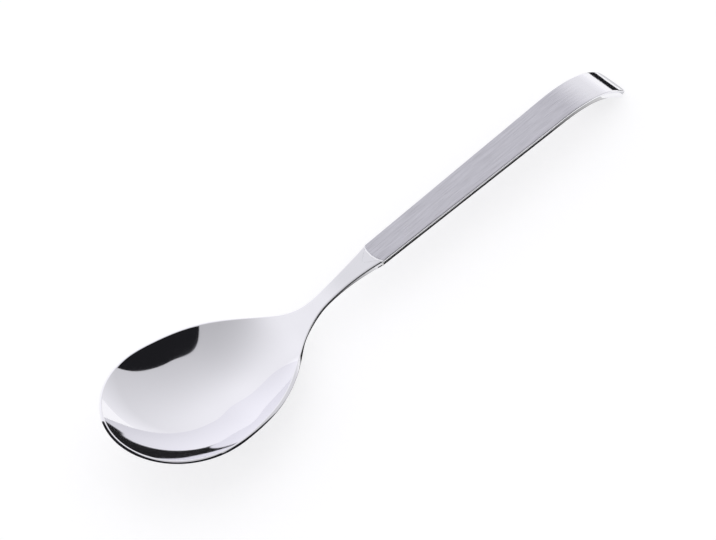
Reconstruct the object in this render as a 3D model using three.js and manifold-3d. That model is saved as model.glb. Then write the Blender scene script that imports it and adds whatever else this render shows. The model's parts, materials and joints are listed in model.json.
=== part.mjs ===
// A serving spoon: a forged bowl and neck with a tang, cemented into a hollow handle of two pressed shells.
// Millimetres, +Z up, +X from the bowl towards the hook. The origin is the flat under the bowl, on the table.
import * as THREE from "three";
import { ParametricGeometry } from "three/addons/geometries/ParametricGeometry.js";
import { mergeVertices } from "three/addons/utils/BufferGeometryUtils.js";
import Module from "manifold-3d";

const wasm = await Module();
wasm.setup();

const radians = THREE.MathUtils.degToRad;
const { clamp, lerp, smoothstep } = THREE.MathUtils;

// Side view: the line of the top face, from the bowl's tip to the hook's end.
const RIM_LENGTH = 97.7;
const RIM_PITCH = radians(9.75);
const NECK_DIP_RADIUS = 32.7;
const NECK_RISE = radians(13.8);
const NECK_CREST_RADIUS = 152;
const HANDLE_STRAIGHT = 115.3;
const HOOK_EASE_RADIUS = 72;
const HOOK_EASE = radians(12.5);
const HOOK_RADIUS = 48.4;
const HOOK_BEND = radians(38.1);

// Bowl, measured inside the rim.
const BOWL_WIDTH = 64;
const BOWL_WIDEST = 36.8;
const BOWL_DEEPEST = 50;
const BOWL_DEPTH = 19;
const BOWL_RUN_OUT = 103;
const HOLLOW_FULLNESS = 18;
const BOWL_WALL = 1.7;
const BOWL_FULLNESS = 12;
const RIM_ROUND = 0.35;
const FOOT_FLAT = 0.25;

// Neck and tang.
const NECK_PLACE = 119.1;
const NECK_WIDTH = 6.3;
const NECK_ROOT_CURVE = 2;
const NECK_THICKNESS = 2.3;
const TANG_WIDTH = 7.6;
const TANG_THICKNESS = 1.4;
const TANG_LENGTH = 48;
const TANG_ROOT = 3;

// Hollow handle.
const NOSE_WIDTH = 12;
const NOSE_RADIUS = 11.9;
const TIP_WIDTH = 16.9;
const TIP_CAP = 6;
const TIP_SQUARENESS = 2.9;
const SIDE_HEIGHT = 3.9;
const TIP_HEIGHT = 4;
const TAPER_LENGTH = 49;
const CROWN = 0.8;
const CROWN_START = 25;
const SHELL_WALL = 0.7;
const TOP_EDGE_RADIUS = 0.6;
const BOTTOM_EDGE_RADIUS = 1;
const BOTTOM_EDGE_SHARE = 0.3;
const MOUTH_LIP = 0.3;
const MOUTH_RUN = 1.5;

// Brazed and cemented joints.
const JOINT_GAP = 0.2;
const SEAM_HEIGHT = 0.4;
const BEAD_WIDTH = 0.5;
const CEMENT_SETBACK = 2.6;
const CEMENT_COVER = 5;

// Steps of the surfaces.
const TIP_STEPS = 10;
const BOWL_STEPS = 17;
const NECK_STEPS = 8;
const NOSE_STEPS = 5;
const HANDLE_STEPS = 8;
const HOOK_STEPS = 11;
const CAP_STEPS = 6;
const LOOP_STEPS = 32;
const OUTER_SQUARENESS = 5;
const HOLE_SQUARENESS = 10;
const BOWL_RINGS = [0, 0.07, 0.14, 0.28, 0.42, 0.56, 0.7, 0.82, 0.92, 1];
const RIM_RINGS = 2;
const CROWN_RING = 0.5;
const TANG_END_STEPS = 8;
const SLOPE_STEP = 0.01;
const MERGE_DISTANCE = 1e-4;

// How finely the resting place is searched for.
const REST_STEP = 0.1;
const REST_EDGE_STEPS = 16;
const REST_ROUNDS = 12;

// Places along the line, all from the bowl's tip.
const DIP_END = RIM_LENGTH + NECK_DIP_RADIUS * (RIM_PITCH + NECK_RISE);
const NOSE_PLACE = DIP_END + NECK_CREST_RADIUS * NECK_RISE;
const HOOK_PLACE = NOSE_PLACE + HANDLE_STRAIGHT;
const BEND_PLACE = HOOK_PLACE + HOOK_EASE_RADIUS * HOOK_EASE;
const END_PLACE = BEND_PLACE + HOOK_RADIUS * HOOK_BEND;
const NOSE_CORNER = NOSE_PLACE + noseSetback(NOSE_WIDTH / 2, 0);
const SHOULDER_SETBACK = 2 * JOINT_GAP + BEAD_WIDTH;
const CAP_PLACE = END_PLACE - TIP_CAP;

// A fall from 1 to 0 with level ends, a set curvature at each end, and a fullness between them.
function fall(t, startCurve, endCurve, fullness) {
  const step = 1 - t ** 3 * (10 - 15 * t + 6 * t ** 2);
  const start = (startCurve / 2) * t ** 2 * (1 - t) ** 3;
  const end = (endCurve / 2) * t ** 3 * (1 - t) ** 2;
  return step + start + end + fullness * (t * (1 - t)) ** 3;
}

function slopeOf(curve, at) {
  return (curve(at + SLOPE_STEP) - curve(at - SLOPE_STEP)) / (2 * SLOPE_STEP);
}

// The line of the top face: its place and the angle of its climb, at a distance from the bowl's tip.
function centreline(s) {
  const rimDrop = Math.min(s, RIM_LENGTH);
  const turn = clamp((s - RIM_LENGTH) / NECK_DIP_RADIUS, 0, RIM_PITCH + NECK_RISE);
  const crest = clamp((s - DIP_END) / NECK_CREST_RADIUS, 0, NECK_RISE);
  const level = clamp(s - NOSE_PLACE, 0, HANDLE_STRAIGHT);
  const ease = clamp((s - HOOK_PLACE) / HOOK_EASE_RADIUS, 0, HOOK_EASE);
  const bend = ease + Math.max(0, (s - BEND_PLACE) / HOOK_RADIUS);
  const dip = turn - RIM_PITCH;
  const rise = NECK_RISE - crest;
  let x = rimDrop * Math.cos(RIM_PITCH);
  let z = -rimDrop * Math.sin(RIM_PITCH);
  x += NECK_DIP_RADIUS * (Math.sin(dip) + Math.sin(RIM_PITCH));
  z += NECK_DIP_RADIUS * (Math.cos(RIM_PITCH) - Math.cos(dip));
  x += NECK_CREST_RADIUS * (Math.sin(NECK_RISE) - Math.sin(rise));
  z += NECK_CREST_RADIUS * (Math.cos(rise) - Math.cos(NECK_RISE));
  x += level + HOOK_EASE_RADIUS * Math.sin(ease) + HOOK_RADIUS * (Math.sin(bend) - Math.sin(ease));
  z -= HOOK_EASE_RADIUS * (1 - Math.cos(ease)) + HOOK_RADIUS * (Math.cos(ease) - Math.cos(bend));
  return { x, z, climb: turn - RIM_PITCH - crest - bend };
}

// A point given along the line, across it and above it, in the side view's own axes.
function onLine(s, y, n) {
  const { x, z, climb } = centreline(s);
  return new THREE.Vector3(x - n * Math.sin(climb), y, z + n * Math.cos(climb));
}

// Plan of the bowl and neck.
function headHalfWidth(s) {
  const half = BOWL_WIDTH / 2;
  if (s < BOWL_WIDEST) {
    const back = 1 - Math.max(s, 0) / BOWL_WIDEST;
    return half * Math.sqrt(1 - back ** 2);
  }
  const neckHalf = NECK_WIDTH / 2;
  if (s < NECK_PLACE) {
    const length = NECK_PLACE - BOWL_WIDEST;
    const startCurve = (-half / BOWL_WIDEST ** 2) * (length ** 2 / (half - neckHalf));
    const t = (s - BOWL_WIDEST) / length;
    return neckHalf + (half - neckHalf) * fall(t, startCurve, NECK_ROOT_CURVE, BOWL_FULLNESS);
  }
  const flare = (s - NECK_PLACE) / (NOSE_CORNER - NECK_PLACE);
  return lerp(neckHalf, NOSE_WIDTH / 2 - RIM_ROUND, flare ** 2);
}

// Depth of the hollow along the bowl's middle, with the tip's curvature carried on past the deepest place.
function hollowDepth(s) {
  if (s >= BOWL_RUN_OUT) return 0;
  if (s < BOWL_DEEPEST) return BOWL_DEPTH * (1 - (1 - s / BOWL_DEEPEST) ** 2);
  const length = BOWL_RUN_OUT - BOWL_DEEPEST;
  const startCurve = -2 * (length / BOWL_DEEPEST) ** 2;
  return BOWL_DEPTH * fall((s - BOWL_DEEPEST) / length, startCurve, 0, HOLLOW_FULLNESS);
}

// How sharply the hollow curves up towards both sides.
function hollowCurve(s) {
  const at = Math.max(s, SLOPE_STEP);
  return hollowDepth(at) / headHalfWidth(at) ** 2;
}

// Height and slopes of the bowl and neck's upper face.
function headTop(s, y) {
  return {
    height: hollowCurve(s) * y ** 2 - hollowDepth(s),
    alongSlope: slopeOf(hollowCurve, s) * y ** 2 - slopeOf(hollowDepth, s),
    acrossSlope: 2 * hollowCurve(s) * y,
  };
}

function headThickness(s) {
  if (s < NECK_PLACE) return lerp(BOWL_WALL, NECK_THICKNESS, smoothstep(s, BOWL_WIDEST, NECK_PLACE));
  return lerp(NECK_THICKNESS, SIDE_HEIGHT, smoothstep(s, NECK_PLACE, NOSE_CORNER));
}

// Plan of the handle.
function noseSetback(y, inset) {
  return NOSE_RADIUS - Math.sqrt((NOSE_RADIUS - inset) ** 2 - y ** 2);
}

function handleHalfWidth(s) {
  return lerp(NOSE_WIDTH / 2, TIP_WIDTH / 2, (s - NOSE_CORNER) / (END_PLACE - NOSE_CORNER));
}

function sideHeight(s) {
  return lerp(SIDE_HEIGHT, TIP_HEIGHT, smoothstep(s, END_PLACE - TAPER_LENGTH, END_PLACE));
}

function crownHeight(s) {
  return CROWN * (sideHeight(s) / SIDE_HEIGHT) * smoothstep(s, NOSE_PLACE, NOSE_PLACE + CROWN_START);
}

// Half of the handle's plan, from the nose's middle round to the hook's end.
const handleStations = [];
for (let i = 0; i <= NOSE_STEPS; i++) handleStations.push({ part: "nose", at: i / NOSE_STEPS });
for (let i = 0; i <= HANDLE_STEPS; i++) {
  handleStations.push({ part: "side", at: lerp(NOSE_CORNER + MOUTH_RUN, HOOK_PLACE, i / HANDLE_STEPS) });
}
for (let i = 1; i <= HOOK_STEPS; i++) {
  handleStations.push({ part: "side", at: lerp(HOOK_PLACE, CAP_PLACE, i / HOOK_STEPS) });
}
for (let i = 1; i <= CAP_STEPS; i++) {
  handleStations.push({ part: "cap", at: ((Math.PI / 2) * i) / CAP_STEPS });
}

function handlePlan(station, inset) {
  const { part, at } = station;
  if (part === "nose") {
    const y = at * (NOSE_WIDTH / 2 - inset);
    return { s: NOSE_PLACE + noseSetback(y, inset), y };
  }
  if (part === "side") return { s: at, y: handleHalfWidth(at) - inset };
  const along = Math.sin(at) ** (2 / TIP_SQUARENESS);
  const across = Math.max(Math.cos(at), 0) ** (2 / TIP_SQUARENESS);
  const s = CAP_PLACE + (TIP_CAP - inset) * along;
  return { s, y: (handleHalfWidth(s) - inset) * across };
}

const SPINE_START = NOSE_PLACE + NOSE_WIDTH / 2;
const SPINE_END = END_PLACE - TIP_WIDTH / 2;

// A ring round the handle: the plan drawn in by an inset, then towards the middle line by a share.
function handleRing(inset, share, height) {
  return (station) => {
    const { s, y } = handlePlan(station, inset);
    const along = lerp(s, clamp(s, SPINE_START, SPINE_END), share);
    return new THREE.Vector3(along, y * (1 - share), -height(along, station));
  };
}

// The edge that a shell turns to the other one: close along the sides, open at the nose for the tang.
function seamEdge(down) {
  return (s, station) => {
    const half = sideHeight(s) / 2;
    if (station.part === "nose") return half + down * (half - SHELL_WALL - MOUTH_LIP);
    return half + down * (SEAM_HEIGHT / 2 + JOINT_GAP);
  };
}

// The table: the tilt and the place at which the bowl's flat and the hook's end both touch it.
function bottomEdgeRadius(s) {
  return Math.min(BOTTOM_EDGE_RADIUS, BOTTOM_EDGE_SHARE * sideHeight(s));
}

function roundedBottom(turn) {
  return {
    inset: (s) => bottomEdgeRadius(s) * (1 - Math.cos(turn)),
    height: (s) => sideHeight(s) - bottomEdgeRadius(s) * (1 - Math.sin(turn)),
  };
}

function restOnTable() {
  const bowl = [];
  for (let s = BOWL_WIDEST / 2; s < BOWL_RUN_OUT; s += REST_STEP) {
    const { height, alongSlope } = headTop(s, 0);
    const drop = headThickness(s) / Math.hypot(1, alongSlope);
    bowl.push(onLine(s + drop * alongSlope, 0, height - drop));
  }
  const hook = [];
  for (let i = 0; i <= REST_EDGE_STEPS; i++) {
    const edge = roundedBottom(((Math.PI / 2) * i) / REST_EDGE_STEPS);
    hook.push(onLine(END_PLACE - edge.inset(END_PLACE), 0, -edge.height(END_PLACE)));
  }
  let tilt = 0;
  let foot;
  for (let round = 0; round < REST_ROUNDS; round++) {
    const height = (p) => p.z * Math.cos(tilt) + p.x * Math.sin(tilt);
    const lower = (a, b) => (height(b) < height(a) ? b : a);
    foot = bowl.reduce(lower);
    const end = hook.reduce(lower);
    tilt += (height(foot) + FOOT_FLAT - height(end)) / (end.x - foot.x);
  }
  return { tilt, foot };
}

const rest = restOnTable();

// From along, across and above the line to the spoon as it lies on the table.
function setDown(point) {
  const p = onLine(point.x, point.y, point.z).sub(rest.foot);
  const x = p.x * Math.cos(rest.tilt) - p.z * Math.sin(rest.tilt);
  const z = p.z * Math.cos(rest.tilt) + p.x * Math.sin(rest.tilt);
  return new THREE.Vector3(x, p.y, z - FOOT_FLAT);
}

// Solids.
function closed(geometry) {
  geometry.deleteAttribute("normal");
  geometry.deleteAttribute("uv");
  const merged = mergeVertices(geometry, MERGE_DISTANCE);
  const corners = merged.index.array;
  const kept = [];
  for (let i = 0; i < corners.length; i += 3) {
    const [a, b, c] = corners.slice(i, i + 3);
    if (a !== b && b !== c && c !== a) kept.push(a, b, c);
  }
  merged.setIndex(kept);
  return merged;
}

function place(geometry) {
  const position = geometry.attributes.position;
  const point = new THREE.Vector3();
  for (let i = 0; i < position.count; i++) {
    const put = setDown(point.fromBufferAttribute(position, i));
    position.setXYZ(i, put.x, put.y, put.z);
  }
  return geometry;
}

// A surface from a grid of points: rows[j] gives a row's points, and a row that shrinks to a line closes it.
function skin(columns, rows) {
  const point = (u, v, target) => {
    const column = Math.round(u * (columns - 1));
    target.copy(rows[Math.round(v * (rows.length - 1))](column));
  };
  return closed(new ParametricGeometry(point, columns - 1, rows.length - 1));
}

// The same ring on both sides of the middle line, from the first station round to the last and back.
function aroundBothSides(stations, rings) {
  const columns = 2 * stations.length - 1;
  const rows = rings.map((ring) => (column) => {
    const back = column >= stations.length;
    const point = ring(stations[back ? columns - 1 - column : column]);
    return back ? point.setY(-point.y) : point;
  });
  return skin(columns, rows);
}

function toManifold(geometry) {
  const vertProperties = new Float32Array(geometry.attributes.position.array);
  const triVerts = new Uint32Array(geometry.index.array);
  return new wasm.Manifold(new wasm.Mesh({ numProp: 3, vertProperties, triVerts }));
}

function fromManifold(solid) {
  const mesh = solid.getMesh();
  const geometry = new THREE.BufferGeometry();
  geometry.setAttribute("position", new THREE.BufferAttribute(new Float32Array(mesh.vertProperties), 3));
  geometry.setIndex(Array.from(mesh.triVerts));
  return geometry;
}

// Bowl and neck.
function headStations() {
  const shoulder = (y) => NOSE_PLACE + noseSetback(y, 0) - SHOULDER_SETBACK;
  const stations = [];
  for (let i = 0; i <= TIP_STEPS; i++) {
    const turn = ((Math.PI / 2) * i) / TIP_STEPS;
    const s = BOWL_WIDEST * (1 - Math.cos(turn));
    const out = new THREE.Vector2(-Math.cos(turn) / BOWL_WIDEST, (2 * Math.sin(turn)) / BOWL_WIDTH);
    stations.push({ s, y: (BOWL_WIDTH / 2) * Math.sin(turn), out: out.normalize(), round: RIM_ROUND });
  }
  const edge = (s) => {
    const out = new THREE.Vector2(-slopeOf(headHalfWidth, s), 1).normalize();
    stations.push({ s, y: headHalfWidth(s), out, round: RIM_ROUND });
  };
  for (let i = 1; i <= BOWL_STEPS; i++) edge(lerp(BOWL_WIDEST, NECK_PLACE, i / BOWL_STEPS));
  const corner = shoulder(NOSE_WIDTH / 2);
  for (let i = 1; i <= NECK_STEPS; i++) edge(lerp(NECK_PLACE, corner, i / NECK_STEPS));
  for (let i = NOSE_STEPS - 1; i >= 0; i--) {
    const y = (headHalfWidth(corner) * i) / NOSE_STEPS;
    stations.push({ s: shoulder(y), y, out: new THREE.Vector2(1, 0), round: 0 });
  }
  return stations;
}

// One station's point on the upper face, its normal, and the way out across the rim.
function headFrame(station, share) {
  const middle = clamp(station.s, BOWL_WIDEST, NOSE_PLACE - NOSE_WIDTH / 2);
  const s = lerp(middle, station.s, share);
  const y = station.y * share;
  const { height, alongSlope, acrossSlope } = headTop(s, y);
  const normal = new THREE.Vector3(-alongSlope, -acrossSlope, 1).normalize();
  const climb = alongSlope * station.out.x + acrossSlope * station.out.y;
  const out = new THREE.Vector3(station.out.x, station.out.y, climb).normalize();
  return { point: new THREE.Vector3(s, y, height), normal, out, thickness: headThickness(s) };
}

// The rim is a flat edge with both its corners rounded.
function rimRing(turn, atBottom) {
  return (station) => {
    const { point, normal, out, thickness } = headFrame(station, 1);
    const corner = station.round * (1 - Math.cos(turn));
    const down = atBottom ? thickness - corner : corner;
    return point.addScaledVector(normal, -down).addScaledVector(out, station.round * Math.sin(turn));
  };
}

function bowlAndNeck() {
  const upper = BOWL_RINGS.map((share) => (station) => headFrame(station, share).point);
  const turns = [];
  for (let i = 1; i <= RIM_RINGS; i++) turns.push(((Math.PI / 2) * i) / RIM_RINGS);
  const rim = turns.map((turn) => rimRing(turn, false));
  rim.push(...turns.reverse().map((turn) => rimRing(turn, true)));
  const lower = [...BOWL_RINGS].reverse().map((share) => (station) => {
    const { point, normal, thickness } = headFrame(station, share);
    return point.addScaledVector(normal, -thickness);
  });
  return aroundBothSides(headStations(), [...upper, ...rim, ...lower]);
}

function tang() {
  const start = NOSE_PLACE - SHOULDER_SETBACK - TANG_ROOT;
  const half = TANG_WIDTH / 2;
  const centre = NOSE_PLACE + TANG_LENGTH - half;
  const plan = new THREE.Shape();
  plan.moveTo(start, -half);
  plan.lineTo(centre, -half);
  plan.absarc(centre, 0, half, -Math.PI / 2, Math.PI / 2, false);
  plan.lineTo(start, half);
  plan.closePath();
  const options = { depth: TANG_THICKNESS, bevelEnabled: false, curveSegments: TANG_END_STEPS };
  const solid = new THREE.ExtrudeGeometry(plan, options);
  solid.translate(0, 0, -(SIDE_HEIGHT + TANG_THICKNESS) / 2);
  return closed(solid);
}

// The bowl's underside is ground flat where it would reach into the table.
function spoonHead() {
  const ground = new THREE.BoxGeometry(BOWL_WIDTH, BOWL_WIDTH, BOWL_WALL).translate(0, 0, -BOWL_WALL / 2);
  const forged = toManifold(place(bowlAndNeck())).add(toManifold(place(tang())));
  return fromManifold(forged.subtract(toManifold(closed(ground))));
}

// Handle shells.
const flush = () => 0;
const innerTop = () => SHELL_WALL;

function upperShell() {
  const slant = TOP_EDGE_RADIUS * (1 - Math.SQRT1_2);
  return aroundBothSides(handleStations, [
    handleRing(0, 1, flush),
    handleRing(TOP_EDGE_RADIUS, 0, flush),
    handleRing(slant, 0, () => slant),
    handleRing(0, 0, () => TOP_EDGE_RADIUS),
    handleRing(0, 0, seamEdge(-1)),
    handleRing(SHELL_WALL, 0, seamEdge(-1)),
    handleRing(SHELL_WALL, 0, innerTop),
    handleRing(SHELL_WALL, 1, innerTop),
  ]);
}

// A ring of the lower shell's rounded bottom edge, where the inset follows the edge's own radius.
function bottomEdgeRing(turn) {
  const edge = roundedBottom(turn);
  return (station) => {
    const { s } = handlePlan(station, 0);
    return handleRing(edge.inset(s), 0, edge.height)(station);
  };
}

function crowned(share, lift) {
  return (s) => sideHeight(s) + crownHeight(s) * share * (2 - share) - lift;
}

function lowerShell() {
  return aroundBothSides(handleStations, [
    handleRing(SHELL_WALL, 1, crowned(1, SHELL_WALL)),
    handleRing(SHELL_WALL, CROWN_RING, crowned(CROWN_RING, SHELL_WALL)),
    handleRing(SHELL_WALL, 0, crowned(0, SHELL_WALL)),
    handleRing(SHELL_WALL, 0, seamEdge(1)),
    handleRing(0, 0, seamEdge(1)),
    bottomEdgeRing(0),
    bottomEdgeRing(Math.PI / 4),
    bottomEdgeRing(Math.PI / 2),
    handleRing(BOTTOM_EDGE_RADIUS, CROWN_RING, crowned(CROWN_RING, 0)),
    handleRing(BOTTOM_EDGE_RADIUS, 1, crowned(1, 0)),
  ]);
}

// The strip between the shells: along both sides and round the hook's end, flared to fill the mouth's corners.
function seamStrip() {
  const half = handleStations.slice(NOSE_STEPS);
  const count = 2 * half.length - 1;
  const section = [[0, -1], [1, -1], [1, 1], [0, 1], [0, -1]];
  const at = (index, inset, height) => {
    const back = index >= half.length;
    const station = half[back ? count - 1 - index : index];
    const { s, y } = handlePlan(station, inset);
    return new THREE.Vector3(s, back ? -y : y, -height(s, station));
  };
  const corner = (index) => (column) => {
    const [across, down] = section[column];
    return at(index, across * SHELL_WALL, (s, station) => seamEdge(down)(s, station) - down * JOINT_GAP);
  };
  const middle = (index) => () => at(index, SHELL_WALL / 2, (s) => sideHeight(s) / 2);
  const rows = [middle(0)];
  for (let i = 0; i < count; i++) rows.push(corner(i));
  rows.push(middle(count - 1));
  return skin(section.length, rows);
}

// A rounded oblong loop, across and above the line.
function oblong(column, halfWidth, halfHeight, squareness) {
  const turn = (2 * Math.PI * column) / LOOP_STEPS;
  const power = 2 / squareness;
  const cos = Math.cos(turn);
  const sin = Math.sin(turn);
  const y = halfWidth * Math.sign(cos) * Math.abs(cos) ** power;
  return { y, n: halfHeight * Math.sign(sin) * Math.abs(sin) ** power - SIDE_HEIGHT / 2 };
}

const TANG_HOLE = [TANG_WIDTH / 2 + JOINT_GAP, TANG_THICKNESS / 2 + JOINT_GAP, HOLE_SQUARENESS];

function mouthBead() {
  const loop = (size, setback) => (column) => {
    const { y, n } = oblong(column % LOOP_STEPS, ...size);
    return new THREE.Vector3(NOSE_PLACE + noseSetback(y, 0) - setback, y, n);
  };
  const outer = [NOSE_WIDTH / 2, SIDE_HEIGHT / 2, OUTER_SQUARENESS];
  const back = JOINT_GAP;
  const front = JOINT_GAP + BEAD_WIDTH;
  const rows = [loop(outer, front), loop(outer, back), loop(TANG_HOLE, back), loop(TANG_HOLE, front)];
  return skin(LOOP_STEPS + 1, [...rows, rows[0]]);
}

// The filler round the tang: a sleeve with a closed end.
function cementSleeve() {
  const start = NOSE_PLACE + CEMENT_SETBACK;
  const holeEnd = NOSE_PLACE + TANG_LENGTH + JOINT_GAP;
  const end = NOSE_PLACE + TANG_LENGTH + CEMENT_COVER;
  const height = SIDE_HEIGHT / 2 - SHELL_WALL - JOINT_GAP;
  const outer = (s) => [handleHalfWidth(s) - SHELL_WALL - JOINT_GAP, height, OUTER_SQUARENESS];
  const loop = (s, size) => (column) => {
    const { y, n } = oblong(column % LOOP_STEPS, ...size);
    return new THREE.Vector3(s, y, n);
  };
  const point = [0, 0, OUTER_SQUARENESS];
  return skin(LOOP_STEPS + 1, [
    loop(holeEnd, point),
    loop(holeEnd, TANG_HOLE),
    loop(start, TANG_HOLE),
    loop(start, outer(start)),
    loop(end, outer(end)),
    loop(end, point),
  ]);
}

// Finishes.
const polished = new THREE.MeshStandardMaterial({ color: 0xe4e4ea, metalness: 1, roughness: 0.06 });
const satin = new THREE.MeshStandardMaterial({ color: 0xc3c2cb, metalness: 1, roughness: 0.38 });
const solder = new THREE.MeshStandardMaterial({ color: 0xdedde2, metalness: 1, roughness: 0.15 });
const cement = new THREE.MeshStandardMaterial({ color: 0x8d8a84, metalness: 0, roughness: 0.9 });

const spoon = new THREE.Group();

function add(name, geometry, material) {
  const mesh = new THREE.Mesh(geometry, material);
  mesh.name = name;
  spoon.add(mesh);
}

add("spoon_head", spoonHead(), polished);
add("handle_upper_shell", place(upperShell()), satin);
add("handle_lower_shell", place(lowerShell()), polished);
add("seam_solder", place(seamStrip()), solder);
add("mouth_solder", place(mouthBead()), solder);
add("tang_cement", place(cementSleeve()), cement);

export default spoon;
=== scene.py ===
# Looks of a serving spoon: polished bowl and neck, satin handle top, polished sides, all on a white table.
import json
import math

import bmesh
import bpy
from mathutils import Matrix, Quaternion, Vector


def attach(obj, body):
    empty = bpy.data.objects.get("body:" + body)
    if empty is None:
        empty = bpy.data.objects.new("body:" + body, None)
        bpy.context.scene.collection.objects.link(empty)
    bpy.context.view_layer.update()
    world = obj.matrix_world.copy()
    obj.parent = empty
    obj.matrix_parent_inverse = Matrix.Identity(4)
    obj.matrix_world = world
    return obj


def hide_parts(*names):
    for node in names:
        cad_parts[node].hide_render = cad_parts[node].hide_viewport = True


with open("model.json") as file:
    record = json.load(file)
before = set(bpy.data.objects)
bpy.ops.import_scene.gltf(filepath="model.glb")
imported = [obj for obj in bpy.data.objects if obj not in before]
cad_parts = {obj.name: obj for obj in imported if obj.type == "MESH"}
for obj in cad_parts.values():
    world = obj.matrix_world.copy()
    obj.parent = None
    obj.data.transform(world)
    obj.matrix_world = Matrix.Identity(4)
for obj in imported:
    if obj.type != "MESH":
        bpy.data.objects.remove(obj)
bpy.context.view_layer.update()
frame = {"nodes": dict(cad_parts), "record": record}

MM = 0.001

# Side view: the line of the top face, from the bowl's tip to the hook's end.
RIM_LENGTH = 97.7 * MM
RIM_PITCH = math.radians(9.75)
NECK_DIP_RADIUS = 32.7 * MM
NECK_RISE = math.radians(13.8)
NECK_CREST_RADIUS = 152 * MM
HANDLE_STRAIGHT = 115.3 * MM
HOOK_EASE_RADIUS = 72 * MM
HOOK_EASE = math.radians(12.5)
HOOK_RADIUS = 48.4 * MM
HOOK_BEND = math.radians(38.1)

# Bowl, measured inside the rim.
BOWL_WIDTH = 64 * MM
BOWL_WIDEST = 36.8 * MM
BOWL_DEEPEST = 50 * MM
BOWL_DEPTH = 19 * MM
BOWL_RUN_OUT = 103 * MM
HOLLOW_FULLNESS = 18
BOWL_WALL = 1.7 * MM
BOWL_FULLNESS = 12
RIM_ROUND = 0.35 * MM
FOOT_FLAT = 0.25 * MM

# Neck, whose edges are rounder than the rim.
NECK_PLACE = 119.1 * MM
NECK_WIDTH = 6.3 * MM
NECK_ROOT_CURVE = 2
NECK_THICKNESS = 2.3 * MM
NECK_ROUND = 1.1 * MM
NECK_ROUND_START = 84 * MM

# Hollow handle.
NOSE_WIDTH = 12 * MM
NOSE_RADIUS = 11.9 * MM
TIP_WIDTH = 16.9 * MM
TIP_CAP = 6 * MM
TIP_SQUARENESS = 2.9
SIDE_HEIGHT = 3.9 * MM
TIP_HEIGHT = 4 * MM
TAPER_LENGTH = 49 * MM
CROWN = 0.8 * MM
CROWN_START = 25 * MM
SHELL_WALL = 0.7 * MM
TOP_EDGE_RADIUS = 0.7 * MM
BOTTOM_EDGE_RADIUS = 1 * MM
BOTTOM_EDGE_SHARE = 0.3
MOUTH_LIP = 0.3 * MM
MOUTH_RUN = 1.5 * MM

# Brazed joints: the strip fills the one along the sides, and the bead the one at the nose but for its fit.
JOINT_GAP = 0.2 * MM
SEAM_HEIGHT = 0.4 * MM
BEAD_WIDTH = 0.5 * MM
BEAD_FIT = 0.03 * MM
BEAD_ROUND = 0.2 * MM
BEAD_PROUD = 0.06 * MM
BEAD_SQUARENESS = 9
TANG_THICKNESS = 1.4 * MM

# Steps of the surfaces.
TIP_STEPS = 56
BOWL_STEPS = 90
NECK_STEPS = 40
NOSE_STEPS = 16
HANDLE_STEPS = 40
HOOK_STEPS = 70
CAP_STEPS = 26
EDGE_STEPS = 6
BEAD_LOOP_STEPS = 160
BEAD_SECTION_STEPS = 8
SLOPE_STEP = 0.01 * MM
REST_STEP = 0.1 * MM

# Rings between an edge and the middle line, as shares of the way.
BOWL_RINGS = 40
RIM_SHARES = (0.988, 0.996, 1)
TOP_SHARES = (1, 0.6, 0.3, 0.1, 0.02, 0)
CROWN_SHARES = (0.08, 0.2, 0.4, 0.6, 0.8, 1)
INNER_CROWN_SHARES = (1, 0.5, 0)
SIDE_START = 1.15 * TOP_EDGE_RADIUS
SATIN_EDGE_ROWS = 2

# Making of the meshes.
SURFACE_MAP = "along_across"
GRID_HALF = 0.5
HARD_CORNER = math.radians(40)
MERGE_DISTANCE = 1e-7

# Places along the line, all from the bowl's tip.
DIP_END = RIM_LENGTH + NECK_DIP_RADIUS * (RIM_PITCH + NECK_RISE)
NOSE_PLACE = DIP_END + NECK_CREST_RADIUS * NECK_RISE
HOOK_PLACE = NOSE_PLACE + HANDLE_STRAIGHT
BEND_PLACE = HOOK_PLACE + HOOK_EASE_RADIUS * HOOK_EASE
END_PLACE = BEND_PLACE + HOOK_RADIUS * HOOK_BEND
CAP_PLACE = END_PLACE - TIP_CAP
SPINE_START = NOSE_PLACE + NOSE_WIDTH / 2
SPINE_END = END_PLACE - TIP_WIDTH / 2
SHOULDER_SETBACK = 2 * JOINT_GAP + BEAD_WIDTH


def clamp(value, low, high):
    return max(low, min(high, value))


def lerp(a, b, t):
    return a + (b - a) * t


def smoothstep(x, low, high):
    t = clamp((x - low) / (high - low), 0, 1)
    return t * t * (3 - 2 * t)


def fall(t, start_curve, end_curve, fullness):
    """A fall from 1 to 0 with level ends, a set curvature at each end, and a fullness between them."""
    step = 1 - t**3 * (10 - 15 * t + 6 * t**2)
    start = start_curve / 2 * t**2 * (1 - t) ** 3
    end = end_curve / 2 * t**3 * (1 - t) ** 2
    return step + start + end + fullness * (t * (1 - t)) ** 3


def slope_of(curve, at):
    return (curve(at + SLOPE_STEP) - curve(at - SLOPE_STEP)) / (2 * SLOPE_STEP)


def nose_setback(y, inset):
    return NOSE_RADIUS - math.sqrt((NOSE_RADIUS - inset) ** 2 - y**2)


NOSE_CORNER = NOSE_PLACE + nose_setback(NOSE_WIDTH / 2, 0)


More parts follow.
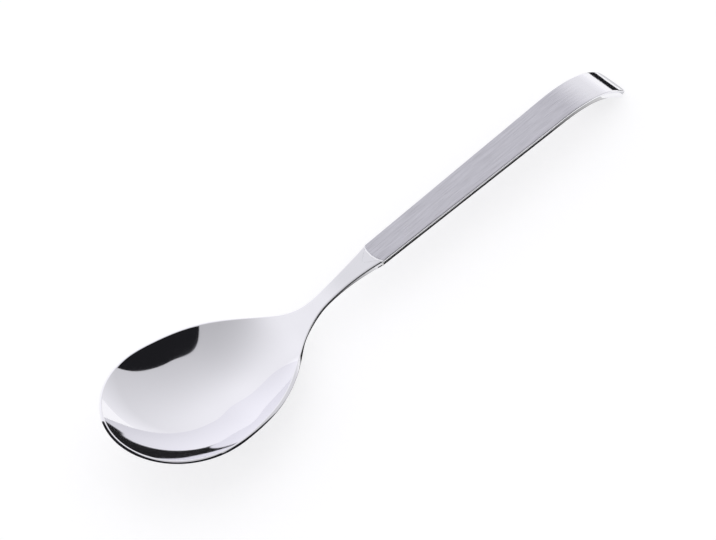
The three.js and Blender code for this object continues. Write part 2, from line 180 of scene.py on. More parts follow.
def centreline(s):
    """The line of the top face: its place and the angle of its climb."""
    rim = min(s, RIM_LENGTH)
    turn = clamp((s - RIM_LENGTH) / NECK_DIP_RADIUS, 0, RIM_PITCH + NECK_RISE)
    crest = clamp((s - DIP_END) / NECK_CREST_RADIUS, 0, NECK_RISE)
    straight = clamp(s - NOSE_PLACE, 0, HANDLE_STRAIGHT)
    ease = clamp((s - HOOK_PLACE) / HOOK_EASE_RADIUS, 0, HOOK_EASE)
    bend = ease + max(0, (s - BEND_PLACE) / HOOK_RADIUS)
    dip = turn - RIM_PITCH
    rise = NECK_RISE - crest
    x = rim * math.cos(RIM_PITCH) + NECK_DIP_RADIUS * (math.sin(dip) + math.sin(RIM_PITCH))
    z = -rim * math.sin(RIM_PITCH) + NECK_DIP_RADIUS * (math.cos(RIM_PITCH) - math.cos(dip))
    x += NECK_CREST_RADIUS * (math.sin(NECK_RISE) - math.sin(rise))
    z += NECK_CREST_RADIUS * (math.cos(rise) - math.cos(NECK_RISE))
    x += straight + HOOK_EASE_RADIUS * math.sin(ease) + HOOK_RADIUS * (math.sin(bend) - math.sin(ease))
    z -= HOOK_EASE_RADIUS * (1 - math.cos(ease)) + HOOK_RADIUS * (math.cos(ease) - math.cos(bend))
    return x, z, turn - RIM_PITCH - crest - bend


def on_line(s, y, n):
    """A point given along the line, across it and above it, in the side view's own axes."""
    x, z, climb = centreline(s)
    return Vector((x - n * math.sin(climb), y, z + n * math.cos(climb)))


def head_half_width(s):
    half = BOWL_WIDTH / 2
    if s < BOWL_WIDEST:
        back = 1 - max(s, 0) / BOWL_WIDEST
        return half * math.sqrt(1 - back**2)
    neck_half = NECK_WIDTH / 2
    if s < NECK_PLACE:
        length = NECK_PLACE - BOWL_WIDEST
        start_curve = -half / BOWL_WIDEST**2 * (length**2 / (half - neck_half))
        t = (s - BOWL_WIDEST) / length
        return neck_half + (half - neck_half) * fall(t, start_curve, NECK_ROOT_CURVE, BOWL_FULLNESS)
    flare = (s - NECK_PLACE) / (NOSE_CORNER - NECK_PLACE)
    return lerp(neck_half, NOSE_WIDTH / 2 - RIM_ROUND, flare**2)


def hollow_depth(s):
    if s >= BOWL_RUN_OUT:
        return 0.0
    if s < BOWL_DEEPEST:
        return BOWL_DEPTH * (1 - (1 - s / BOWL_DEEPEST) ** 2)
    length = BOWL_RUN_OUT - BOWL_DEEPEST
    start_curve = -2 * (length / BOWL_DEEPEST) ** 2
    return BOWL_DEPTH * fall((s - BOWL_DEEPEST) / length, start_curve, 0, HOLLOW_FULLNESS)


def hollow_curve(s):
    """How sharply the hollow curves up towards both sides."""
    at = max(s, SLOPE_STEP)
    return hollow_depth(at) / head_half_width(at) ** 2


def head_top(s, y):
    """Height of the bowl and neck's upper face, and its slopes along and across."""
    curve = hollow_curve(s)
    along_slope = slope_of(hollow_curve, s) * y**2 - slope_of(hollow_depth, s)
    return curve * y**2 - hollow_depth(s), along_slope, 2 * curve * y


def head_thickness(s):
    if s < NECK_PLACE:
        return lerp(BOWL_WALL, NECK_THICKNESS, smoothstep(s, BOWL_WIDEST, NECK_PLACE))
    return lerp(NECK_THICKNESS, SIDE_HEIGHT, smoothstep(s, NECK_PLACE, NOSE_CORNER))


def handle_half_width(s):
    return lerp(NOSE_WIDTH / 2, TIP_WIDTH / 2, (s - NOSE_CORNER) / (END_PLACE - NOSE_CORNER))


def side_height(s):
    return lerp(SIDE_HEIGHT, TIP_HEIGHT, smoothstep(s, END_PLACE - TAPER_LENGTH, END_PLACE))


def crown_height(s):
    return CROWN * side_height(s) / SIDE_HEIGHT * smoothstep(s, NOSE_PLACE, NOSE_PLACE + CROWN_START)


def bottom_edge_radius(s):
    return min(BOTTOM_EDGE_RADIUS, BOTTOM_EDGE_SHARE * side_height(s))


# The table: the frame's own handle face gives the tilt, and the bowl's lowest point the place.
tilt_axis = next(mount["axis"] for mount in frame["record"]["mounts"] if mount["name"] == "handle_top")
TILT = math.atan2(-tilt_axis[0], tilt_axis[2])


def foot_place():
    """The lowest point under the bowl, in the side view's own axes."""
    start = BOWL_WIDEST / 2
    points = []
    for i in range(round((BOWL_RUN_OUT - start) / REST_STEP)):
        s = start + i * REST_STEP
        height, along_slope, _ = head_top(s, 0)
        drop = head_thickness(s) / math.hypot(1, along_slope)
        points.append(on_line(s + drop * along_slope, 0, height - drop))
    return min(points, key=lambda point: point.z * math.cos(TILT) + point.x * math.sin(TILT))


FOOT = foot_place()


def put_down(s, y, n):
    """A point along, across and above the line, on the spoon as it lies.

    The foot under the bowl is ground flat where the table is.
    """
    point = on_line(s, y, n) - FOOT
    x = point.x * math.cos(TILT) - point.z * math.sin(TILT)
    z = point.z * math.cos(TILT) + point.x * math.sin(TILT)
    return Vector((x, point.y, max(z - FOOT_FLAT, 0)))


def new_piece(name, bm):
    mesh = bpy.data.meshes.new(name)
    bm.to_mesh(mesh)
    bm.free()
    piece = bpy.data.objects.new(name, mesh)
    bpy.context.scene.collection.objects.link(piece)
    return piece


def skin(name, columns, rows, second_finish=None):
    """A closed surface. Each row takes a column's number to a point along, across and above the line.

    Its map runs along the line and across it, down the sides too.
    Rows from second_finish on take a second material.
    """
    bm = bmesh.new()
    uv_layer = bm.loops.layers.uv.new(SURFACE_MAP)
    bmesh.ops.create_grid(bm, x_segments=columns - 1, y_segments=len(rows) - 1, size=GRID_HALF)

    def column_of(vert):
        return round((vert.co.x + GRID_HALF) * (columns - 1))

    def row_of(vert):
        return round((vert.co.y + GRID_HALF) * (len(rows) - 1))

    for face in bm.faces:
        first_row = min(row_of(vert) for vert in face.verts)
        face.material_index = int(second_finish is not None and first_row >= second_finish)
        for loop in face.loops:
            s, y, n = rows[row_of(loop.vert)](column_of(loop.vert))
            loop[uv_layer].uv = (s, y - math.copysign(n, y))
    for vert in bm.verts:
        vert.co = put_down(*rows[row_of(vert)](column_of(vert)))
    bmesh.ops.remove_doubles(bm, verts=bm.verts, dist=MERGE_DISTANCE)
    bmesh.ops.dissolve_degenerate(bm, edges=bm.edges, dist=MERGE_DISTANCE)
    bmesh.ops.recalc_face_normals(bm, faces=bm.faces)
    for face in bm.faces:
        face.smooth = True
    for edge in bm.edges:
        edge.smooth = edge.calc_face_angle(0) < HARD_CORNER
    return new_piece(name, bm)


def around_both_sides(name, stations, rings, second_finish=None):
    """The same rings on both sides of the middle line, from the first station round to the last and back."""
    columns = 2 * len(stations) - 1

    def mirrored(ring):
        def point(column):
            back = column >= len(stations)
            s, y, n = ring(stations[columns - 1 - column if back else column])
            return s, -y if back else y, n

        return point

    return skin(name, columns, [mirrored(ring) for ring in rings], second_finish)


def quarter_turns():
    return [math.pi / 2 * i / EDGE_STEPS for i in range(1, EDGE_STEPS + 1)]


# Bowl and neck.
def head_stations():
    stations = []
    for i in range(TIP_STEPS + 1):
        turn = math.pi / 2 * i / TIP_STEPS
        out = Vector((-math.cos(turn) / BOWL_WIDEST, 2 * math.sin(turn) / BOWL_WIDTH)).normalized()
        s = BOWL_WIDEST * (1 - math.cos(turn))
        stations.append({"s": s, "y": BOWL_WIDTH / 2 * math.sin(turn), "out": out, "round": RIM_ROUND})

    def edge(s):
        out = Vector((-slope_of(head_half_width, s), 1)).normalized()
        edge_round = lerp(RIM_ROUND, NECK_ROUND, smoothstep(s, NECK_ROUND_START, NECK_PLACE))
        y = head_half_width(s) + RIM_ROUND - edge_round
        stations.append({"s": s, "y": y, "out": out, "round": edge_round})

    def shoulder(y):
        return NOSE_PLACE + nose_setback(y, 0) - SHOULDER_SETBACK

    for i in range(1, BOWL_STEPS + 1):
        edge(lerp(BOWL_WIDEST, NECK_PLACE, i / BOWL_STEPS))
    corner = shoulder(NOSE_WIDTH / 2)
    for i in range(1, NECK_STEPS + 1):
        edge(lerp(NECK_PLACE, corner, i / NECK_STEPS))
    for i in reversed(range(NOSE_STEPS)):
        y = (head_half_width(corner) + RIM_ROUND - NECK_ROUND) * i / NOSE_STEPS
        stations.append({"s": shoulder(y), "y": y, "out": Vector((1, 0)), "round": 0})
    return stations


def head_frame(station, share):
    """A point of the upper face, its normal, the way out over the edge, and the wall's thickness there.

    The share is of the way from the middle line to the edge.
    """
    middle = clamp(station["s"], BOWL_WIDEST, NOSE_PLACE - NOSE_WIDTH / 2)
    s = lerp(middle, station["s"], share)
    y = station["y"] * share
    height, along_slope, across_slope = head_top(s, y)
    normal = Vector((-along_slope, -across_slope, 1)).normalized()
    climb = along_slope * station["out"].x + across_slope * station["out"].y
    out = Vector((station["out"].x, station["out"].y, climb)).normalized()
    return Vector((s, y, height)), normal, out, head_thickness(s)


def upper_ring(share):
    return lambda station: head_frame(station, share)[0]


def lower_ring(share):
    def ring(station):
        point, normal, _, thickness = head_frame(station, share)
        return point - normal * thickness

    return ring


def rim_ring(turn, at_bottom):
    def ring(station):
        point, normal, out, thickness = head_frame(station, 1)
        corner = station["round"] * (1 - math.cos(turn))
        down = thickness - corner if at_bottom else corner
        return point - normal * down + out * station["round"] * math.sin(turn)

    return ring


def bowl_and_neck():
    shares = [i / BOWL_RINGS for i in range(BOWL_RINGS)] + list(RIM_SHARES)
    rings = [upper_ring(share) for share in shares]
    rings += [rim_ring(turn, False) for turn in quarter_turns()]
    rings += [rim_ring(turn, True) for turn in reversed(quarter_turns())]
    rings += [lower_ring(share) for share in reversed(shares)]
    return around_both_sides("bowl_and_neck", head_stations(), rings)


# Handle shells.
def handle_stations():
    stations = [("nose", i / NOSE_STEPS) for i in range(NOSE_STEPS + 1)]
    for i in range(HANDLE_STEPS + 1):
        stations.append(("side", lerp(NOSE_CORNER + MOUTH_RUN, HOOK_PLACE, i / HANDLE_STEPS)))
    for i in range(1, HOOK_STEPS + 1):
        stations.append(("side", lerp(HOOK_PLACE, CAP_PLACE, i / HOOK_STEPS)))
    for i in range(1, CAP_STEPS + 1):
        stations.append(("cap", math.pi / 2 * i / CAP_STEPS))
    return stations


def handle_plan(station, inset):
    part, at = station
    if part == "nose":
        y = at * (NOSE_WIDTH / 2 - inset)
        return NOSE_PLACE + nose_setback(y, inset), y
    if part == "side":
        return at, handle_half_width(at) - inset
    along = math.sin(at) ** (2 / TIP_SQUARENESS)
    across = max(math.cos(at), 0) ** (2 / TIP_SQUARENESS)
    s = CAP_PLACE + (TIP_CAP - inset) * along
    return s, (handle_half_width(s) - inset) * across


def handle_ring(inset, share, depth):
    """A ring round the handle: the plan drawn in by an inset, then towards the middle line by a share."""

    def ring(station):
        s, y = handle_plan(station, inset)
        along = lerp(s, clamp(s, SPINE_START, SPINE_END), share)
        return Vector((along, y * (1 - share), -depth(along, station)))

    return ring


def level(depth):
    return lambda s, station: depth


def seam_edge(down):
    def depth(s, station):
        half = side_height(s) / 2
        if station[0] == "nose":
            return half + down * (half - SHELL_WALL - MOUTH_LIP)
        return half + down * (SEAM_HEIGHT / 2 + JOINT_GAP)

    return depth


def crowned(share, lift):
    return lambda s, station: side_height(s) + crown_height(s) * share * (2 - share) - lift


def top_edge_ring(turn):
    inset = TOP_EDGE_RADIUS * (1 - math.sin(turn))
    return handle_ring(inset, 0, level(TOP_EDGE_RADIUS * (1 - math.cos(turn))))


def bottom_edge_ring(turn):
    def depth(s, station):
        return side_height(s) - bottom_edge_radius(s) * (1 - math.sin(turn))

    def ring(station):
        s, _ = handle_plan(station, 0)
        inset = bottom_edge_radius(s) * (1 - math.cos(turn))
        return handle_ring(inset, 0, depth)(station)

    return ring


def handle_top():
    rings = [handle_ring(TOP_EDGE_RADIUS, share, level(0)) for share in TOP_SHARES]
    second_finish = len(rings) + SATIN_EDGE_ROWS
    rings += [top_edge_ring(turn) for turn in quarter_turns()]
    rings += [handle_ring(0, 0, level(SIDE_START)), handle_ring(0, 0, seam_edge(-1))]
    rings.append(handle_ring(SHELL_WALL, 0, seam_edge(-1)))
    rings += [handle_ring(SHELL_WALL, share, level(SHELL_WALL)) for share in (0, 1)]
    return around_both_sides("handle_top", handle_stations(), rings, second_finish)


def handle_underside():
    rings = [handle_ring(SHELL_WALL, share, crowned(share, SHELL_WALL)) for share in INNER_CROWN_SHARES]
    rings += [handle_ring(SHELL_WALL, 0, seam_edge(1)), handle_ring(0, 0, seam_edge(1))]
    rings += [bottom_edge_ring(turn) for turn in [0] + quarter_turns()]
    rings += [handle_ring(BOTTOM_EDGE_RADIUS, share, crowned(share, 0)) for share in CROWN_SHARES]
    return around_both_sides("handle_underside", handle_stations(), rings)


# Brazed strip between the shells, and the bead at the nose.
def side_seam():
    half = handle_stations()[NOSE_STEPS:]
    count = 2 * len(half) - 1
    section = [(0, -1), (1, -1), (1, 1), (0, 1), (0, -1)]

    def at(index, inset, depth):
        back = index >= len(half)
        station = half[count - 1 - index if back else index]
        s, y = handle_plan(station, inset)
        return Vector((s, -y if back else y, -depth(s, station)))

    def corners(index):
        return lambda column: at(index, section[column][0] * SHELL_WALL, seam_edge(section[column][1]))

    def middle(index):
        return lambda column: at(index, SHELL_WALL / 2, lambda s, station: side_height(s) / 2)

    rows = [middle(0)] + [corners(i) for i in range(count)] + [middle(count - 1)]
    return skin("side_seam", len(section), rows)


def oblong(turn, half_width, half_height, squareness):
    power = 2 / squareness
    y = half_width * math.copysign(abs(math.cos(turn)) ** power, math.cos(turn))
    n = half_height * math.copysign(abs(math.sin(turn)) ** power, math.sin(turn))
    return y, n - SIDE_HEIGHT / 2


def nose_bead():
    def loop(out, setback):
        def point(column):
            turn = 2 * math.pi * (column % BEAD_LOOP_STEPS) / BEAD_LOOP_STEPS
            y, n = oblong(turn, NOSE_WIDTH / 2 + out, SIDE_HEIGHT / 2 + out, BEAD_SQUARENESS)
            return Vector((NOSE_PLACE + nose_setback(y, 0) - setback, y, n))

        return point

    hole = TANG_THICKNESS / 2 + JOINT_GAP - SIDE_HEIGHT / 2
    at_neck = SHOULDER_SETBACK - BEAD_FIT
    rows = [loop(hole, at_neck)]
    for i in range(BEAD_SECTION_STEPS + 1):
        t = i / BEAD_SECTION_STEPS
        out = BEAD_PROUD - BEAD_ROUND * (1 - math.sin(math.pi * t))
        rows.append(loop(out, lerp(at_neck, BEAD_FIT, t)))
    rows += [loop(hole, BEAD_FIT), rows[0]]
    return skin("nose_bead", BEAD_LOOP_STEPS + 1, rows)


# Finishes. A pair of numbers is the least and the most of a value.
# A pair of places is where along the spoon a change starts and ends.
NOISE_RANGE = (0.3, 0.7)
POLISHED_COLOUR = (0.9, 0.896, 0.925, 1)
POLISHED_ROUGHNESS = (0.03, 0.055)
CLOUD_SCALE = (70, 70, 70)
CLOUD_DETAIL = 3
# Painted shade: the neck's colour greys towards the nose, standing in for its darker reflection.
NECK_SHADE_COLOUR = (0.775, 0.773, 0.8, 1)
NECK_SHADE_SPAN = (NECK_PLACE - 3 * MM, NECK_PLACE + 13 * MM)
SATIN_DARK = (0.51, 0.505, 0.543, 1)
SATIN_LIGHT = (0.635, 0.629, 0.675, 1)
SATIN_ROUGHNESS = (0.26, 0.34)
GRAIN_FINE = (110, 3000, 1)
GRAIN_BROAD = (70, 1300, 1)
GRAIN_DETAIL = 2
GRAIN_DEPTH = 0.004 * MM
FINE_STREAKS = 0.6
STREAK_RANGE = (0.55, 1.05)
BRUSHING = 0.8
BRUSHING_TURN = 0.25
HOOK_POLISH = (HOOK_PLACE + 3 * MM, HOOK_PLACE + 25 * MM)
HOOK_ROUGHNESS = 0.08
SIDE_COLOUR = (0.84, 0.835, 0.87, 1)
SIDE_ROUGHNESS = (0.05, 0.22)
SIDE_BRUSHING_START = (NOSE_PLACE + 18 * MM, NOSE_PLACE + 38 * MM)
SIDE_BRUSHING_END = (HOOK_PLACE - 14 * MM, HOOK_PLACE)
BRAZE_DARK = (0.93, 0.93, 0.94, 1)
BRAZE_LIGHT = (0.98, 0.98, 0.99, 1)
BRAZE_ROUGHNESS = (0.04, 0.08)
BRAZE_SCALE = (900, 900, 900)
BRAZE_DETAIL = 2
CEMENT_DARK = (0.11, 0.1, 0.085, 1)
CEMENT_LIGHT = (0.2, 0.185, 0.16, 1)
CEMENT_ROUGHNESS = 0.85
CEMENT_SCALE = (1600, 1600, 1600)
CEMENT_DETAIL = 4
CEMENT_DEPTH = 0.1 * MM


def new_material(name):
    material = bpy.data.materials.new(name)
    material.use_nodes = True
    nodes = material.node_tree.nodes
    return material, nodes, material.node_tree.links, nodes["Principled BSDF"]


def map_range(nodes, links, value, from_range, to_range, interpolation="LINEAR"):
    node = nodes.new("ShaderNodeMapRange")
    node.interpolation_type = interpolation
    links.new(value, node.inputs["Value"])
    node.inputs["From Min"].default_value, node.inputs["From Max"].default_value = from_range
    node.inputs["To Min"].default_value, node.inputs["To Max"].default_value = to_range
    return node.outputs["Result"]


def math_node(nodes, links, operation, first, second):
    node = nodes.new("ShaderNodeMath")
    node.operation = operation
    links.new(first, node.inputs[0])
    links.new(second, node.inputs[1])
    return node.outputs["Value"]


def noise(nodes, links, place, stretch, detail):
    mapping = nodes.new("ShaderNodeMapping")
    mapping.inputs["Scale"].default_value = stretch
    links.new(place, mapping.inputs["Vector"])
    texture = nodes.new("ShaderNodeTexNoise")
    texture.inputs["Scale"].default_value = 1
    texture.inputs["Detail"].default_value = detail
    links.new(mapping.outputs["Vector"], texture.inputs["Vector"])
    return texture.outputs["Fac"]


def colour_between(nodes, links, share, first, second):
    mix = nodes.new("ShaderNodeMix")
    mix.data_type = "RGBA"
    mix.inputs["A"].default_value = first
    mix.inputs["B"].default_value = second
    links.new(share, mix.inputs["Factor"])
    return mix.outputs["Result"]


def bump(nodes, links, shader, height, distance):
    node = nodes.new("ShaderNodeBump")
    node.inputs["Distance"].default_value = distance
    links.new(height, node.inputs["Height"])
    links.new(node.outputs["Normal"], shader.inputs["Normal"])


def object_place(nodes):
    return nodes.new("ShaderNodeTexCoord").outputs["Object"]


def surface_place(nodes):
    """The place on a piece's own map."""
    surface = nodes.new("ShaderNodeUVMap")
    surface.uv_map = SURFACE_MAP
    return surface.outputs["UV"]


def along_spoon(nodes, links, place):
    split = nodes.new("ShaderNodeSeparateXYZ")
    links.new(place, split.inputs["Vector"])
    return split.outputs["X"]


def polished_steel(name):
    """Mirror polish, with the faint cloudiness that hand buffing leaves."""
    material, nodes, links, shader = new_material(name)
    clouds = noise(nodes, links, object_place(nodes), CLOUD_SCALE, CLOUD_DETAIL)
    shader.inputs["Base Color"].default_value = POLISHED_COLOUR
    shader.inputs["Metallic"].default_value = 1
    roughness = map_range(nodes, links, clouds, NOISE_RANGE, POLISHED_ROUGHNESS)
    links.new(roughness, shader.inputs["Roughness"])
    return material


def head_steel():
    """The same polish, with painted shade on the neck: its colour greys towards the nose, standing in for
    the darker reflection there.
    """
    material = polished_steel("head_steel")
    nodes = material.node_tree.nodes
    links = material.node_tree.links
    along = along_spoon(nodes, links, surface_place(nodes))
    # Painted shade: greyer along the neck towards the nose.
    neck_shade = map_range(nodes, links, along, NECK_SHADE_SPAN, (0, 1), "SMOOTHSTEP")
    colour = colour_between(nodes, links, neck_shade, POLISHED_COLOUR, NECK_SHADE_COLOUR)
    links.new(colour, nodes["Principled BSDF"].inputs["Base Color"])
    return material


def satin_steel():
    """Brushed along the handle, in colour, roughness and height, and running into polish on the hook."""
    material, nodes, links, shader = new_material("satin_steel")
    place = surface_place(nodes)
    fine = noise(nodes, links, place, GRAIN_FINE, GRAIN_DETAIL)
    broad = noise(nodes, links, place, GRAIN_BROAD, GRAIN_DETAIL)
    streak = nodes.new("ShaderNodeMath")
    streak.operation = "MULTIPLY_ADD"
    streak.inputs[1].default_value = FINE_STREAKS
    links.new(fine, streak.inputs[0])
    links.new(broad, streak.inputs[2])
    share = map_range(nodes, links, streak.outputs["Value"], STREAK_RANGE, (0, 1))
    satin = colour_between(nodes, links, share, SATIN_DARK, SATIN_LIGHT)
    along = along_spoon(nodes, links, place)
    on_hook = map_range(nodes, links, along, HOOK_POLISH, (0, 1), "SMOOTHSTEP")
    colour = nodes.new("ShaderNodeMix")
    colour.data_type = "RGBA"
    colour.inputs["B"].default_value = POLISHED_COLOUR
    links.new(on_hook, colour.inputs["Factor"])
    links.new(satin, colour.inputs["A"])
    links.new(colour.outputs["Result"], shader.inputs["Base Color"])
    roughness = nodes.new("ShaderNodeMix")
    roughness.data_type = "FLOAT"
    roughness.inputs["B"].default_value = HOOK_ROUGHNESS
    links.new(on_hook, roughness.inputs["Factor"])
    links.new(map_range(nodes, links, fine, NOISE_RANGE, SATIN_ROUGHNESS), roughness.inputs["A"])
    links.new(roughness.outputs["Result"], shader.inputs["Roughness"])
    shader.inputs["Metallic"].default_value = 1
    shader.inputs["Anisotropic"].default_value = BRUSHING
    shader.inputs["Anisotropic Rotation"].default_value = BRUSHING_TURN
    tangent = nodes.new("ShaderNodeTangent")
    tangent.direction_type = "UV_MAP"
    tangent.uv_map = SURFACE_MAP
    links.new(tangent.outputs["Tangent"], shader.inputs["Tangent"])
    bump(nodes, links, shader, fine, GRAIN_DEPTH)
    return material


def side_steel():
    """The handle's sides: polished by the nose and on the hook, and a little duller between them."""
    material, nodes, links, shader = new_material("side_steel")
    along = along_spoon(nodes, links, surface_place(nodes))
    after_nose = map_range(nodes, links, along, SIDE_BRUSHING_START, (0, 1))
    before_hook = map_range(nodes, links, along, SIDE_BRUSHING_END, (1, 0))
    brushed = math_node(nodes, links, "MULTIPLY", after_nose, before_hook)
    colour = colour_between(nodes, links, brushed, POLISHED_COLOUR, SIDE_COLOUR)
    links.new(colour, shader.inputs["Base Color"])
    links.new(map_range(nodes, links, brushed, (0, 1), SIDE_ROUGHNESS), shader.inputs["Roughness"])
    shader.inputs["Metallic"].default_value = 1
    return material


def silver_braze():
    """Buffed braze, brighter than the steel and a little less clear."""
    material, nodes, links, shader = new_material("silver_braze")
    grain = noise(nodes, links, object_place(nodes), BRAZE_SCALE, BRAZE_DETAIL)
    colour = colour_between(nodes, links, grain, BRAZE_DARK, BRAZE_LIGHT)
    links.new(colour, shader.inputs["Base Color"])
    links.new(map_range(nodes, links, grain, NOISE_RANGE, BRAZE_ROUGHNESS), shader.inputs["Roughness"])
    shader.inputs["Metallic"].default_value = 1
    return material


def handle_cement():
    """Cured filler round the tang, matt and sandy."""
    material, nodes, links, shader = new_material("handle_cement")
    grain = noise(nodes, links, object_place(nodes), CEMENT_SCALE, CEMENT_DETAIL)
    colour = colour_between(nodes, links, grain, CEMENT_DARK, CEMENT_LIGHT)
    links.new(colour, shader.inputs["Base Color"])
    shader.inputs["Roughness"].default_value = CEMENT_ROUGHNESS
    bump(nodes, links, shader, grain, CEMENT_DEPTH)
    return material


# Stage: a white table in a grey room, with cards that only show in reflections: painted reflections, dark or
# grey, some of them painted shadow under the spoon.
TABLE_RADIUS = 3
TABLE_SEGMENTS = 96
TABLE_GLOW = 0.55
TABLE_COLOUR = (0.6, 0.6, 0.6, 1)
CARD_BLACK = (0.012, 0.012, 0.014, 1)
CARD_GREY = (0.68, 0.68, 0.7, 1)
FADE_DARKEST = 0.02
OVAL_SEGMENTS = 64
WALL_STEPS = 32
STRIP_LIFT = 0.3 * MM
ROOM_TINT = (1, 0.995, 1.03, 1)
ROOM_GREY = 0.672
ROOM_SLOPE = Vector((0.06, 0.218, 0.157))
HORIZON_HEIGHT = 0.2
HORIZON_LIGHT = 0.15
SECOND_BOUNCE_LIGHT = 1.13

# The room's dark foot: for each count of bounces, its upper edge's slant and height.
FOOT_EDGES = (
    (2, Vector((0.122, -0.099, 1)), 0.49),
    (3, Vector((0, 0.46, 1)), 0.91),
)
FOOT_SOFTNESS = 0.006
FOOT_END = (0.25, 0.35)
FOOT_DARKNESS = 0.98
COUNT_MARGIN = 0.5


def stage_piece(name, bm):
    piece = new_piece(name, bm)
    return piece


def table_white():
    """White to the camera and in reflections, with the shadow that the light on it makes.

    To the light that it throws on the spoon it is plain paint.
    """
    material = bpy.data.materials.new("table_white")
    material.use_nodes = True
    nodes = material.node_tree.nodes
    links = material.node_tree.links
    nodes.remove(nodes["Principled BSDF"])
    path = nodes.new("ShaderNodeLightPath")
    seen = math_node(nodes, links, "MAXIMUM", path.outputs["Is Camera Ray"], path.outputs["Is Glossy Ray"])
    paint = nodes.new("ShaderNodeBsdfDiffuse")
    paint.inputs["Color"].default_value = TABLE_COLOUR
    glow = nodes.new("ShaderNodeEmission")
    glow.inputs["Strength"].default_value = TABLE_GLOW
    white = nodes.new("ShaderNodeAddShader")
    links.new(paint.outputs["BSDF"], white.inputs[0])
    links.new(glow.outputs["Emission"], white.inputs[1])
    mix = nodes.new("ShaderNodeMixShader")
    links.new(seen, mix.inputs["Fac"])
    links.new(paint.outputs["BSDF"], mix.inputs[1])
    links.new(white.outputs["Shader"], mix.inputs[2])
    links.new(mix.outputs["Shader"], nodes["Material Output"].inputs["Surface"])
    return material


def white_table():
    bm = bmesh.new()
    bmesh.ops.create_circle(bm, cap_ends=True, segments=TABLE_SEGMENTS, radius=TABLE_RADIUS)
    table = stage_piece("table", bm)
    table.data.materials.append(table_white())


def card_finish(name):
    """A finish of set brightness, whatever light falls on the card."""
    material = bpy.data.materials.new(name)
    material.use_nodes = True
    nodes = material.node_tree.nodes
    links = material.node_tree.links
    nodes.remove(nodes["Principled BSDF"])
    glow = nodes.new("ShaderNodeEmission")
    links.new(glow.outputs["Emission"], nodes["Material Output"].inputs["Surface"])
    return material, nodes, links, glow


def plain_card(name, colour):
    material, _, _, glow = card_finish(name)
    glow.inputs["Color"].default_value = colour
    return material


def fading_card(name, start, end, last):
    """Black up to a place along the spoon, then lighter towards another."""
    material, nodes, links, glow = card_finish(name)
    along = along_spoon(nodes, links, object_place(nodes))
    fade = map_range(nodes, links, along, (start, end), (FADE_DARKEST, last))
    links.new(fade, glow.inputs["Strength"])
    return material


def card(name, bm, finish):
    """A piece of the stage that only reflections see."""
    piece = stage_piece(name, bm)
    piece.data.materials.append(finish)
    piece.visible_camera = False
    piece.visible_diffuse = False
    piece.visible_shadow = False
    piece.visible_transmission = False


def oval(name, finish, place, facing, half_width, half_height):
    """An upright oval."""
    bm = bmesh.new()
    turn = facing.to_track_quat("Z", "Y").to_matrix().to_4x4()
    matrix = Matrix.Translation(place) @ turn @ Matrix.Diagonal((half_width, half_height, 1, 1))
    bmesh.ops.create_circle(bm, cap_ends=True, segments=OVAL_SEGMENTS, radius=1, matrix=matrix)
    card(name, bm, finish)


def strip(name, finish, x, y, half_length, half_width, turn=0):
    """A strip that lies on the table."""
    bm = bmesh.new()
    size = Matrix.Diagonal((half_length, half_width, 1, 1))
    matrix = Matrix.Translation((x, y, STRIP_LIFT)) @ Matrix.Rotation(turn, 4, "Z") @ size
    bmesh.ops.create_grid(bm, x_segments=1, y_segments=1, size=1, matrix=matrix)
    card(name, bm, finish)


def wall(name, finish, middle, radius, bearings, height):
    """A low wall round the bowl's tip, from one bearing to another."""
    bm = bmesh.new()
    first, last = bearings
    foot = middle + radius * Vector((math.cos(first), math.sin(first), 0))
    edge = bm.edges.new((bm.verts.new(foot), bm.verts.new(foot + Vector((0, 0, height)))))
    around = last - first
    bmesh.ops.spin(bm, geom=[edge, *edge.verts], cent=middle, axis=(0, 0, 1), angle=around, steps=WALL_STEPS)
    card(name, bm, finish)


def dark_patch_card(black):
    """The black patch at the bowl's far rim."""
    place = Vector((211.3, -453.2, 20)) * MM
    facing = Vector((-0.4226, 0.9063, 0))
    oval("card_right", black, place, facing, half_width=330 * MM, half_height=290 * MM)


def rim_card(black):
    """The dark outline under the near rim."""
    middle = Vector((-20, 0, 0)) * MM
    bearings = (math.radians(136), math.radians(274))
    wall("card_front", black, middle, radius=90 * MM, bearings=bearings, height=67 * MM)


def handle_cards(black):
    """The dark line along the handle's side, and the bar and the grey on the hook, all painted reflections.
    The strip under the handle is painted shadow of the handle, and the grey strip by the tip is painted
    contact shadow.
    """
    fading = fading_card("fading_by_handle", start=200 * MM, end=232 * MM, last=0.65)
    grey = plain_card("card_grey", CARD_GREY)
    turn = math.radians(-1.178)
    # Painted shadow: a dark strip on the table under the handle, seen only in reflections.
    strip("card_handle", fading, 160 * MM, -4.1 * MM, half_length=72 * MM, half_width=13.4 * MM, turn=turn)
    strip("card_hook", black, 269.5 * MM, 11 * MM, half_length=17.2 * MM, half_width=21 * MM)
    # Painted contact shadow: a grey strip on the table by the hook's tip, seen only in reflections.
    strip("card_tip", grey, 243.6 * MM, 4 * MM, half_length=3.8 * MM, half_width=30 * MM)


def neck_cards():
    """Painted reflections: the dark line along the neck and round to the bowl's right end. The strip by the
    neck's root is painted shadow under the bowl.
    """
    fading = fading_card("fading_by_neck", start=100 * MM, end=200 * MM, last=1)
    strip("card_neck", fading, 100 * MM, -245 * MM, half_length=100 * MM, half_width=205 * MM)
    # Painted shadow: a dark strip on the table under the bowl by the neck, seen only in reflections.
    fading = fading_card("fading_by_root", start=68 * MM, end=90 * MM, last=1)
    strip("card_root", fading, 58.5 * MM, -20 * MM, half_length=28.5 * MM, half_width=20 * MM)


def dark_cards():
    black = plain_card("card_black", CARD_BLACK)
    dark_patch_card(black)
    rim_card(black)
    handle_cards(black)
    neck_cards()


def dot(nodes, links, direction, vector):
    node = nodes.new("ShaderNodeVectorMath")
    node.operation = "DOT_PRODUCT"
    node.inputs[1].default_value = vector
    links.new(direction, node.inputs[0])
    return node.outputs["Value"]


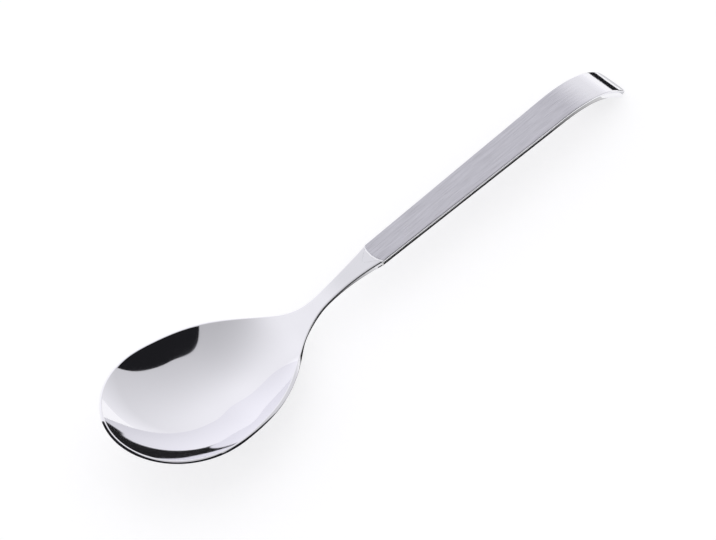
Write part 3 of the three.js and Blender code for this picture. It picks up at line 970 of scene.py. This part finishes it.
def beyond_foot(nodes, links, direction, bounces, count, slant, top):
    """Full outside the room's dark foot, for light that has bounced so many times.

    The foot lies at the handle's end of the room, below a slanting edge.
    """
    counted = nodes.new("ShaderNodeMath")
    counted.operation = "COMPARE"
    counted.inputs[1].default_value = count
    counted.inputs[2].default_value = COUNT_MARGIN
    links.new(bounces, counted.inputs[0])
    edge = (top - FOOT_SOFTNESS, top + FOOT_SOFTNESS)
    below = map_range(nodes, links, dot(nodes, links, direction, slant), edge, (FOOT_DARKNESS, 0))
    handle_end = map_range(nodes, links, dot(nodes, links, direction, (1, 0, 0)), FOOT_END, (0, 1))
    dark = math_node(nodes, links, "MULTIPLY", below, handle_end)
    dark = math_node(nodes, links, "MULTIPLY", dark, counted.outputs["Value"])
    return map_range(nodes, links, dark, (0, 1), (1, 0))


def studio_world():
    """White to the camera; in reflections and as light a grey room.

    The room is lighter to the left, above and by the horizon, and lighter again from the second bounce on.
    At the handle's end its foot is dark to light that has bounced round the bowl two or three times.
    """
    world = bpy.data.worlds.new("studio")
    bpy.context.scene.world = world
    world.use_nodes = True
    nodes = world.node_tree.nodes
    links = world.node_tree.links
    direction = nodes.new("ShaderNodeTexCoord").outputs["Generated"]
    path = nodes.new("ShaderNodeLightPath")
    bounces = path.outputs["Glossy Depth"]
    slope = dot(nodes, links, direction, ROOM_SLOPE)
    room = map_range(nodes, links, slope, (-1, 1), (ROOM_GREY - 1, ROOM_GREY + 1))
    height = dot(nodes, links, direction, (0, 0, 1))
    horizon = map_range(nodes, links, height, (0, HORIZON_HEIGHT), (HORIZON_LIGHT, 0))
    room = math_node(nodes, links, "ADD", room, horizon)
    bounce_light = map_range(nodes, links, bounces, (1, 2), (1, SECOND_BOUNCE_LIGHT))
    room = math_node(nodes, links, "MULTIPLY", room, bounce_light)
    for count, slant, top in FOOT_EDGES:
        outside = beyond_foot(nodes, links, direction, bounces, count, slant, top)
        room = math_node(nodes, links, "MULTIPLY", room, outside)
    strength = nodes.new("ShaderNodeMix")
    strength.data_type = "FLOAT"
    links.new(path.outputs["Is Camera Ray"], strength.inputs["Factor"])
    links.new(room, strength.inputs["A"])
    strength.inputs["B"].default_value = 1
    background = nodes["Background"]
    background.inputs["Color"].default_value = ROOM_TINT
    links.new(strength.outputs["Result"], background.inputs["Strength"])


# Camera.
VIEW_AZIMUTH = math.radians(-43.675)
VIEW_ELEVATION = math.radians(52.987)
VIEW_DISTANCE = 1306.5 * MM
VIEW_ROLL = math.radians(-1.538)
VIEW_TARGET = Vector((78.676, 3.595, 10)) * MM
IMAGE_WIDTH = 716
FOCAL_PIXELS = 3000


def photo_camera():
    data = bpy.data.cameras.new("camera")
    data.lens = FOCAL_PIXELS * data.sensor_width / IMAGE_WIDTH
    camera = bpy.data.objects.new("camera", data)
    back = Vector((
        math.sin(VIEW_AZIMUTH) * math.cos(VIEW_ELEVATION),
        -math.cos(VIEW_AZIMUTH) * math.cos(VIEW_ELEVATION),
        math.sin(VIEW_ELEVATION),
    ))
    camera.location = VIEW_TARGET + back * VIEW_DISTANCE
    camera.rotation_mode = "QUATERNION"
    camera.rotation_quaternion = (-back).to_track_quat("-Z", "Y") @ Quaternion((0, 0, 1), VIEW_ROLL)
    bpy.context.scene.collection.objects.link(camera)
    bpy.context.scene.camera = camera


bpy.context.scene.view_settings.view_transform = "Standard"
photo_camera()
studio_world()
white_table()
dark_cards()
polished = polished_steel("polished_steel")
satin = satin_steel()
sides = side_steel()
braze = silver_braze()
for make, node, slot, finishes in (
    (bowl_and_neck, "spoon_head", "polished_steel", [head_steel()]),
    (handle_top, "handle_upper_shell", "satin_steel", [satin, sides]),
    (handle_underside, "handle_lower_shell", "polished_steel", [polished]),
    (side_seam, "seam_solder", "solder", [braze]),
    (nose_bead, "mouth_solder", "solder", [braze]),
):
    piece = make()
    for finish in finishes:
        piece.data.materials.append(finish)
    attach(piece, "root")
    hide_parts(node)
frame["nodes"]["tang_cement"].material_slots[0].material = handle_cement()
